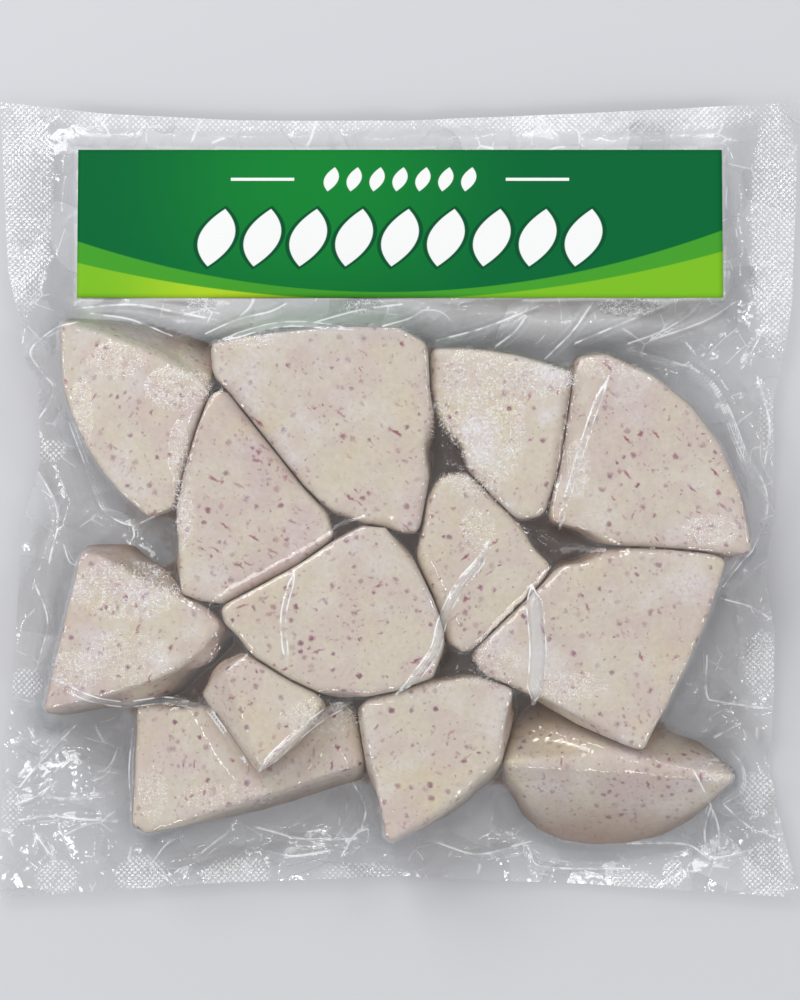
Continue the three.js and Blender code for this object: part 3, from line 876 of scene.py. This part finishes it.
@dataclass(frozen=True)
class FilmMarks:
    """The facets, creases and embossing that both webs' materials share, and painted highlights:
    sparkles on the embossing, glint curls, bright crease lines and lighter or darker facets.
    """

    emboss: float = 1.5
    facets: tuple[tuple[float, float], ...] = ((16.0, 0.16), (9.0, 0.1))
    line_width: float = 0.28

    def facet(self, graph: Graph, vector: object, cell: float,
              slope: float) -> tuple[bpy.types.NodeSocket, bpy.types.NodeSocket]:
        """Adds a crazy paving of flat facets, each tilted its own way.

        Args:
            graph: The graph to build in.
            vector: Coordinates in mm.
            cell: The usual size of a facet in mm.
            slope: The steepest tilt.

        Returns:
            The facets' heights in mm and a random value for each facet.
        """
        cells = graph.node("ShaderNodeTexVoronoi", {"Vector": vector, "Scale": 1 / cell},
                           voronoi_dimensions="2D")
        offset = graph.node("ShaderNodeVectorMath", {0: vector, 1: cells.outputs["Position"]},
                            operation="SUBTRACT")
        tilt = graph.node("ShaderNodeVectorMath", {
            0: cells.outputs["Color"], 1: (2 * slope, 2 * slope, 0), 2: (-slope, -slope, 0)},
            operation="MULTIPLY_ADD")
        height = graph.node("ShaderNodeVectorMath", {0: offset.outputs[0], 1: tilt.outputs[0]},
                            operation="DOT_PRODUCT").outputs["Value"]
        luck = graph.node("ShaderNodeSeparateColor", {0: cells.outputs["Color"]}).outputs[2]
        return height, luck

    def build(self) -> bpy.types.NodeTree:
        """Makes the group."""
        kind = "NodeSocketFloat"
        tree, graph, inputs, out = group_tree(
            "film_marks", {"Vector": "NodeSocketVector", "Loose": kind, "Stamp": kind,
                           "Glint": kind, "Ridge": kind, "Crest": kind, "Beside": kind},
            {"Height": kind, "PaintedHighlights": kind})
        graph.dimensions = "2D"  # a web is nearly flat
        place, loose, stamp = inputs["Vector"], inputs["Loose"], inputs["Stamp"]
        axes = graph.node("ShaderNodeSeparateXYZ", {0: place})
        turn = 2 * math.pi / self.emboss
        dots = graph.math("MULTIPLY", *(graph.math("SINE", graph.math("MULTIPLY", axis, turn))
                                        for axis in axes.outputs[:2]))
        spark = graph.ease(graph.noise(place, 0.7, 1.0), 0.34, 0.58, 0.25, 1.0)
        pressed = graph.math("MULTIPLY", dots, graph.math("MULTIPLY_ADD", stamp, 0.07, 0.004))
        # Painted sparkle: white glints on the embossing's dots, where the noise lets them through.
        stamp_sparkles = graph.math("MULTIPLY", graph.math("MULTIPLY", graph.ease(dots, 0.0, 0.4), stamp),
                             spark)
        warp = graph.node("ShaderNodeTexNoise", {"Vector": place, "Scale": 0.05, "Detail": 0.0},
                          noise_dimensions="2D")
        bent = graph.node("ShaderNodeVectorMath", {0: warp.outputs["Color"], 1: (14.0, 14.0, 14.0),
                                                   2: place}, operation="MULTIPLY_ADD").outputs[0]
        (broad, luck), (narrow, _) = (self.facet(graph, bent, cell, slope)
                                      for cell, slope in self.facets)
        paving = graph.math("MULTIPLY", graph.math("ADD", broad, narrow),
                            graph.math("MULTIPLY_ADD", loose, 0.9, 0.1))
        fine = graph.math("MULTIPLY", graph.noise(place, 0.4, 1.0), 0.2)
        grit = graph.math("MULTIPLY", graph.noise(place, 1.2, 2.0, 0.6), graph.math(
            "MULTIPLY", inputs["Glint"], 0.7))
        height = graph.math("ADD", graph.math("ADD", fine, grit), paving)
        graph.feed(out.inputs["Height"], graph.math("ADD", pressed, height))
        edges = graph.node("ShaderNodeTexVoronoi", {"Vector": bent, "Scale": 1 / self.facets[1][0]},
                           voronoi_dimensions="2D", feature="DISTANCE_TO_EDGE")
        width = self.line_width / self.facets[1][0]
        # Painted highlights: thin white lines along some facet edges in the loose film.
        edge_highlight = graph.ease(edges.outputs["Distance"], width, width * 0.3)
        some = graph.ease(graph.noise(place, 0.11, 1.0), 0.54, 0.62)
        edge_highlights = graph.math("MULTIPLY", graph.math("MULTIPLY", edge_highlight, some), loose)
        # Painted glints: curly white lines where the film clings to the chunks.
        swirl = graph.math("ABSOLUTE", graph.math("SUBTRACT", graph.noise(place, 0.8, 2.0), 0.5))
        glint_curl = graph.math("MULTIPLY", graph.ease(swirl, 0.06, 0.015), graph.ease(
            graph.noise(place, 0.35, 1.0), 0.32, 0.46))
        glint_curls = graph.math("MULTIPLY", glint_curl, inputs["Glint"])
        # Painted highlights: white lines along the pleats' rims and the creases' crests.
        rim_highlight = graph.ease(graph.math("ABSOLUTE", inputs["Ridge"]), 0.28, 0.06)
        top = graph.ease(graph.math("ABSOLUTE", inputs["Crest"]), 0.34, 0.08)
        crest = graph.math("MULTIPLY", top, graph.ease(inputs["Beside"], 1.0, 0.5))
        fade = graph.ease(graph.noise(place, 0.2, 1.0), 0.4, 0.6, 0.12, 0.9)
        rim_highlights = graph.math("MULTIPLY", graph.math("MAXIMUM", rim_highlight, crest), fade)
        # Painted facet shading: each loose facet is a little milkier or clearer at random, as if
        # lit differently, plus the rim highlights.
        tone = graph.math("MULTIPLY_ADD", graph.math("MULTIPLY", luck, loose), 0.13, rim_highlights)
        # All of this is painted highlight and shading, laid on as white haze.
        haze_and_highlights = graph.math("MULTIPLY_ADD", edge_highlights, 0.4, graph.math("MULTIPLY_ADD", glint_curls, 0.7, tone))
        graph.feed(out.inputs["PaintedHighlights"], graph.math("ADD", haze_and_highlights, stamp_sparkles))
        return tree


@dataclass(frozen=True)
class FilmFinish:
    """Clear glossy film with milky folds, painted highlights, and painted brown shade over the gaps
    between the chunks.
    """

    tint: Colour = (0.972, 0.975, 0.978)
    gap_shade_tint: Colour = (0.87, 0.76, 0.68)
    gap_shade_brown: Colour = linear(104, 82, 70)
    milk: Colour = linear(248, 249, 251)
    gloss: float = 0.09
    veil: float = 0.03
    seal_haze: float = 0.04
    fold_and_light_haze: float = 0.55
    gap_shade_haze: float = 0.22
    usual_marks: float = 0.04
    mirror: float = 0.085
    grazing: float = 0.8
    steepness: float = 4.0

    def material(self, name: str, marks: bpy.types.NodeTree) -> bpy.types.Material:
        """Makes a web's material, with the shared marks on it."""
        material, graph, out = new_material(name)
        group = graph.node("ShaderNodeGroup", node_tree=marks)
        graph.feed(group.inputs["Vector"], graph.millimetres())
        for key in ("Loose", "Stamp", "Glint", "Ridge", "Crest", "Beside"):
            graph.feed(group.inputs[key], graph.attribute(key.lower()))
        bump = graph.node("ShaderNodeBump", {"Strength": 1.0, "Distance": MM,
                                             "Height": group.outputs["Height"]})
        facing = graph.node("ShaderNodeLayerWeight", {"Blend": 0.5, "Normal": bump.outputs[0]})
        glance = graph.math("POWER", facing.outputs["Facing"], self.steepness)
        shine = graph.math("MULTIPLY_ADD", glance, self.grazing, self.mirror)
        # Painted shade over the gaps between chunks: the film reflects less there, and its tint and
        # haze turn brown.
        between = graph.attribute("between")
        shine = graph.math("MULTIPLY", shine, graph.math("MULTIPLY_ADD", between, -0.55, 1.0))
        tint = graph.blend(between, self.tint, self.gap_shade_tint)
        clear = graph.node("ShaderNodeBsdfTransparent", {"Color": tint})
        mirror = graph.node("ShaderNodeBsdfGlossy", {"Roughness": self.gloss,
                                                     "Normal": bump.outputs[0]})
        sheen = graph.node("ShaderNodeMixShader", {0: shine, 1: clear.outputs[0],
                                                   2: mirror.outputs[0]})
        # Haze from milky pleats, whiter sharp bends and the painted light band below the label.
        folded_and_lit = graph.math("MULTIPLY", graph.attribute("fold_and_light"), self.fold_and_light_haze)
        even = graph.math("ADD", folded_and_lit, graph.math(
            "MULTIPLY_ADD", graph.attribute("seal"), self.seal_haze, self.veil))
        even = graph.math("MULTIPLY_ADD", between, self.gap_shade_haze, even)
        # The marks add their painted highlights to the haze.
        haze_and_highlights = graph.math("ADD", even, group.outputs["PaintedHighlights"])
        haze_and_highlights.node.use_clamp = True
        # The haze is white where the film is milky or painted with highlights, and painted brown
        # shade over the gaps.
        milk = graph.blend(graph.math("MULTIPLY", between, 0.8), self.milk, self.gap_shade_brown)
        cloud = graph.node("ShaderNodeBsdfPrincipled", {
            "Base Color": milk, "Roughness": 0.35, "Specular IOR Level": 0.3,
            "Normal": bump.outputs[0]})
        skin = graph.node("ShaderNodeMixShader", {0: haze_and_highlights, 1: sheen.outputs[0],
                                                  2: cloud.outputs[0]})
        # Only the camera's own rays meet the full film. The others pass a plain tint of it.
        dimmed = graph.blend(graph.math("ADD", even, self.usual_marks), tint, (0.0, 0.0, 0.0))
        plain = graph.node("ShaderNodeBsdfTransparent", {"Color": dimmed})
        # A bare link from this output marks a surface as unlit, so it goes through a product.
        seen = graph.math("MULTIPLY", graph.node(
            "ShaderNodeLightPath").outputs["Is Camera Ray"], 1.0)
        web = graph.node("ShaderNodeMixShader", {0: seen, 1: plain.outputs[0],
                                                 2: skin.outputs[0]})
        graph.feed(out.inputs["Surface"], web.outputs[0])
        return material


@dataclass(frozen=True)
class LeafRow:
    """A row of slanted leaf shapes across the label, in mm."""

    middle: float
    length: float
    width: float
    spacing: float
    span: float
    slant: float = -0.3


@dataclass(frozen=True)
class Arc:
    """A shallow curved boundary across the label, in mm."""

    base: float
    bow: float
    lean: float


@dataclass
class Label:
    """The label: a thin printed sheet that slopes from the chunks down to the top seal."""

    thickness: float = 0.25
    margin: float = 0.6
    ripple: float = 0.12
    ripple_size: float = 24.0
    upper: Arc = Arc(54.3, 0.00208, 0.0172)
    lower: Arc = Arc(52.4, 0.00156, 0.0178)
    leaves: LeafRow = LeafRow(68.6, 7.6, 4.7, 12.0, 54.0)
    small_leaves: LeafRow = LeafRow(84.0, 3.2, 1.9, 6.0, 22.0)
    rule_place: tuple[float, float] = (36.0, 84.0)
    rule_half_size: tuple[float, float] = (8.3, 0.4)
    field_colour: Colour = linear(6, 104, 54)
    glow: Colour = linear(20, 132, 52)
    deep: Colour = linear(3, 84, 46)
    band: Colour = linear(70, 160, 46)
    lime: Colour = linear(126, 191, 40)
    lemon: Colour = linear(176, 212, 44)
    white: Colour = linear(246, 247, 246)
    paper: Colour = linear(226, 228, 226)

    def __post_init__(self) -> None:
        """Reads the label's place from its CAD solid."""
        self.low, self.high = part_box("label")
        corners = [v.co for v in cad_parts["label"].data.vertices]
        near = max(v.z for v in corners if v.y < (self.low.y + 0.001))
        far = max(v.z for v in corners if v.y > (self.high.y - 0.001))
        self.slope = (far - near) / (self.high.y - self.low.y)
        self.near = near

    def plane(self, y: np.ndarray) -> np.ndarray:
        """Height of the label's upper side at places along Y; all in mm."""
        return self.near / MM + self.slope * (y - self.low.y / MM)

    def covers(self, x: np.ndarray, y: np.ndarray) -> np.ndarray:
        """Where the film lies flat under the label, in mm."""
        edge = self.margin
        return ((x > self.low.x / MM - edge) & (x < self.high.x / MM + edge)
                & (y > self.low.y / MM - edge) & (y < self.high.y / MM + edge))

    def material(self) -> bpy.types.Material:
        """Makes the printed face."""
        material, graph, out = new_material("label_print")
        axes = graph.node("ShaderNodeSeparateXYZ", {0: graph.millimetres()})
        x, y = axes.outputs[0], axes.outputs[1]
        square = graph.math("MULTIPLY", x, x)

        def above(arc: Arc, soft: float = 0.2) -> bpy.types.NodeSocket:
            """1 above a boundary and 0 below it."""
            curve = graph.math("MULTIPLY_ADD", square, arc.bow, arc.base)
            edge = graph.math("MULTIPLY_ADD", x, arc.lean, curve)
            return graph.ease(graph.math("SUBTRACT", y, edge), -soft, soft)

        glow = graph.ease(graph.node("ShaderNodeVectorMath", {
            0: axes.inputs[0].links[0].from_socket, 1: (-22.0, 84.0, 0.0)},
            operation="DISTANCE").outputs[1], 5.0, 62.0, 1.0, 0.0)
        side = graph.math("ABSOLUTE", x)

        def inside(row: LeafRow) -> bpy.types.NodeSocket:
            """How deep a place lies inside a row's leaf shapes, in mm."""
            up = graph.math("DIVIDE", graph.math("SUBTRACT", y, row.middle), row.length)
            sheared = graph.math("MULTIPLY_ADD", up, row.slant * row.length, x)
            across = graph.math("WRAP", sheared, row.spacing / 2, -row.spacing / 2)
            leaf = graph.math("ABSOLUTE", graph.math("SUBTRACT", sheared, across))
            bow = graph.math("MULTIPLY", graph.math("SUBTRACT", 1.0, graph.math(
                "MULTIPLY", up, up)), row.width)
            depth = graph.math("SUBTRACT", bow, graph.math("ABSOLUTE", across))
            outside = graph.math("GREATER_THAN", leaf, row.span)
            return graph.math("SUBTRACT", depth, graph.math("MULTIPLY", outside, 10.0))

        def near(value: object, middle: float, reach: float) -> bpy.types.NodeSocket:
            """1 within reach of a middle value and 0 elsewhere."""
            return graph.math("LESS_THAN", graph.math("ABSOLUTE", graph.math(
                "SUBTRACT", value, middle)), reach)

        ground = graph.blend(glow, self.field_colour, self.glow)
        sun = graph.ease(graph.math("ABSOLUTE", graph.math("ADD", x, 46.0)), 0.0, 34.0, 1.0, 0.0)
        paint = graph.blend(above(self.lower), graph.blend(sun, self.lime, self.lemon), self.band)
        paint = graph.blend(above(self.upper), paint, ground)
        row = inside(self.leaves)
        paint = graph.blend(graph.ease(row, -1.28, -0.85), paint, self.deep)
        paint = graph.blend(graph.ease(row, -0.1, 0.2), paint, self.white)
        small = inside(self.small_leaves)
        paint = graph.blend(graph.ease(small, -0.1, 0.15), paint, self.white)
        rule = graph.math("MULTIPLY", *(
            near(value, middle, reach) for value, middle, reach
            in zip((side, y), self.rule_place, self.rule_half_size)))
        paint = graph.blend(rule, paint, self.white)
        printed = graph.ease(graph.attribute("printed"), 0.45, 0.55)
        paint = graph.blend(printed, self.paper, paint)
        shader = graph.node("ShaderNodeBsdfPrincipled", {
            "Base Color": paint, "Roughness": 0.5, "Specular IOR Level": 0.06})
        graph.feed(out.inputs["Surface"], shader.outputs[0])
        return material

    def build(self) -> bpy.types.Object:
        """Makes the label as one thin sheet with slight ripples."""
        shape = bmesh.new()
        bmesh.ops.create_grid(shape, x_segments=120, y_segments=28, size=0.5)
        width, length = self.high.x - self.low.x, self.high.y - self.low.y
        for vert in shape.verts:
            x = vert.co.x * width
            y = (self.low.y + self.high.y) / 2 + vert.co.y * length
            ripple = self.ripple * MM * noise.noise(Vector((x, y, 0)) / (self.ripple_size * MM))
            z = self.near + self.slope * (y - self.low.y) - self.thickness * MM + ripple
            vert.co = Vector((x, y, z))
        bmesh.ops.solidify(shape, geom=shape.faces[:], thickness=self.thickness * MM)
        bmesh.ops.recalc_face_normals(shape, faces=shape.faces[:])
        mesh = bpy.data.meshes.new("label_sheet")
        shape.to_mesh(mesh)
        shape.free()
        tops = np.zeros(len(mesh.vertices))
        for face in mesh.polygons:
            face.use_smooth = abs(face.normal.z) > 0.5
            if face.normal.z > 0.5:
                tops[list(face.vertices)] = 1.0
        add_attribute(mesh, "printed", tops)
        piece = new_object("label_sheet", mesh)
        piece.data.materials.append(self.material())
        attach(piece, "root")
        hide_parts("label")
        log.info("label: %.1f by %.1f mm", width / MM, length / MM)
        return piece


class Side(Enum):
    """The two webs of film."""

    FRONT = "front"
    BACK = "back"


@dataclass
class Pouch:
    """Both webs of film, drawn over the chunks and under the label."""

    grid: FilmField
    flat: tuple[float, float] = (0.211, 0.209)

    def web(self, side: Side) -> bpy.types.Object:
        """Makes one web as a fine grid with its heights and masks.

        Args:
            side: Which web.

        Returns:
            The web's object.
        """
        grid = self.grid
        heights = grid.front if side is Side.FRONT else grid.back
        shape = bmesh.new()
        bmesh.ops.create_grid(shape, x_segments=grid.columns - 1, y_segments=grid.rows - 1,
                              size=0.5)
        places = np.stack([grid.x, grid.y, heights], -1) * MM
        rank = []
        for vert in shape.verts:
            j = round((vert.co.y + 0.5) * (grid.rows - 1))
            i = round((vert.co.x + 0.5) * (grid.columns - 1))
            rank.append(j * grid.columns + i)
            vert.co = places[j, i]
        if side is Side.BACK:
            bmesh.ops.reverse_faces(shape, faces=shape.faces[:])
        mesh = bpy.data.meshes.new(f"film_{side.value}")
        shape.to_mesh(mesh)
        shape.free()
        for name, values in grid.masks.items():
            add_attribute(mesh, name, values.ravel()[rank])
        shade_smooth(mesh)
        return new_object(f"film_{side.value}", mesh)

    def build(self) -> None:
        """Makes and dresses both webs."""
        marks = FilmMarks().build()
        for side in Side:
            piece = self.web(side)
            piece.data.materials.append(FilmFinish().material(f"clear_{side.value}", marks))
            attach(piece, "root")
            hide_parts(f"{side.value}_film")
            log.info("%s web: %d faces", side.value, len(piece.data.polygons))


# ---- Studio -------------------------------------------------------------------------------


@dataclass
class Studio:
    """The floor, the light and the camera."""

    floor_colour: Colour = linear(214, 215, 219)
    distance: float = 1.5
    frame_height: float = 0.260
    focus: float = 0.02
    floor_size: float = 3.0
    key_place: tuple[float, float, float] = (-0.55, 0.75, 1.0)
    key_size: float = 0.7
    key_power: float = 6.0
    ring_count: int = 7
    ring_reach: float = 0.72
    ring_height: float = 1.0
    ring_size: float = 0.16
    ring_power: float = 0.70
    sky_colour: Colour = (0.975, 0.985, 1.0)
    sky_strength: float = 0.525

    def camera(self) -> None:
        """Looks straight down on the pack."""
        data = bpy.data.cameras.new("camera")
        data.sensor_width = 36.0
        data.lens = data.sensor_width * self.distance / self.frame_height
        camera = new_object("camera", data)
        camera.location = (0, 0, self.focus + self.distance)
        bpy.context.scene.camera = camera

    def floor(self) -> None:
        """Makes a plain pale floor."""
        shape = bmesh.new()
        bmesh.ops.create_grid(shape, x_segments=1, y_segments=1, size=self.floor_size)
        mesh = bpy.data.meshes.new("floor")
        shape.to_mesh(mesh)
        shape.free()
        floor = new_object("floor", mesh)
        material, graph, out = new_material("floor_paint")
        shader = graph.node("ShaderNodeBsdfPrincipled", {
            "Base Color": self.floor_colour, "Roughness": 0.8, "Specular IOR Level": 0.1})
        graph.feed(out.inputs["Surface"], shader.outputs[0])
        floor.data.materials.append(material)

    @staticmethod
    def softbox(name: str, place: tuple[float, float, float], size: float, power: float) -> None:
        """Hangs a square soft light that faces the pack.

        Args:
            name: The light's name.
            place: Where it hangs, in metres.
            size: Its side, in metres.
            power: Its power in watts.
        """
        data = bpy.data.lights.new(name, "AREA")
        data.size = size
        data.energy = power
        light = new_object(name, data)
        light.location = place
        light.rotation_euler = (-Vector(place)).to_track_quat("-Z", "Y").to_euler()

    def build(self) -> None:
        """Sets up the studio."""
        scene = bpy.context.scene
        scene.view_settings.view_transform = "Standard"
        world = bpy.data.worlds.new("studio")
        scene.world = world
        world.use_nodes = True
        sky = world.node_tree.nodes["Background"]
        sky.inputs["Color"].default_value = (*self.sky_colour, 1.0)
        sky.inputs["Strength"].default_value = self.sky_strength
        self.camera()
        self.floor()
        self.softbox("key", self.key_place, self.key_size, self.key_power)
        for n in range(self.ring_count):
            turn = 2 * math.pi * (n + 0.5) / self.ring_count
            place = (self.ring_reach * math.sin(turn), self.ring_reach * math.cos(turn),
                     self.ring_height)
            self.softbox(f"ring_{n}", place, self.ring_size, self.ring_power)


# ---- The pack -----------------------------------------------------------------------------


def main() -> None:
    """Builds the studio and the pack, piece by piece."""
    logging.basicConfig(level=logging.INFO, format="%(name)s: %(message)s")
    Studio().build()
    chunks = Chunks()
    chunks.build()
    label = Label()
    film = FilmField()
    bed = label.plane(film.y) - label.thickness - 0.3
    film.solve(chunk_surface(chunks.pieces), bed, label.covers(film.x, film.y))
    Pouch(film).build()
    label.build()


if __name__ == "__main__":
    main()
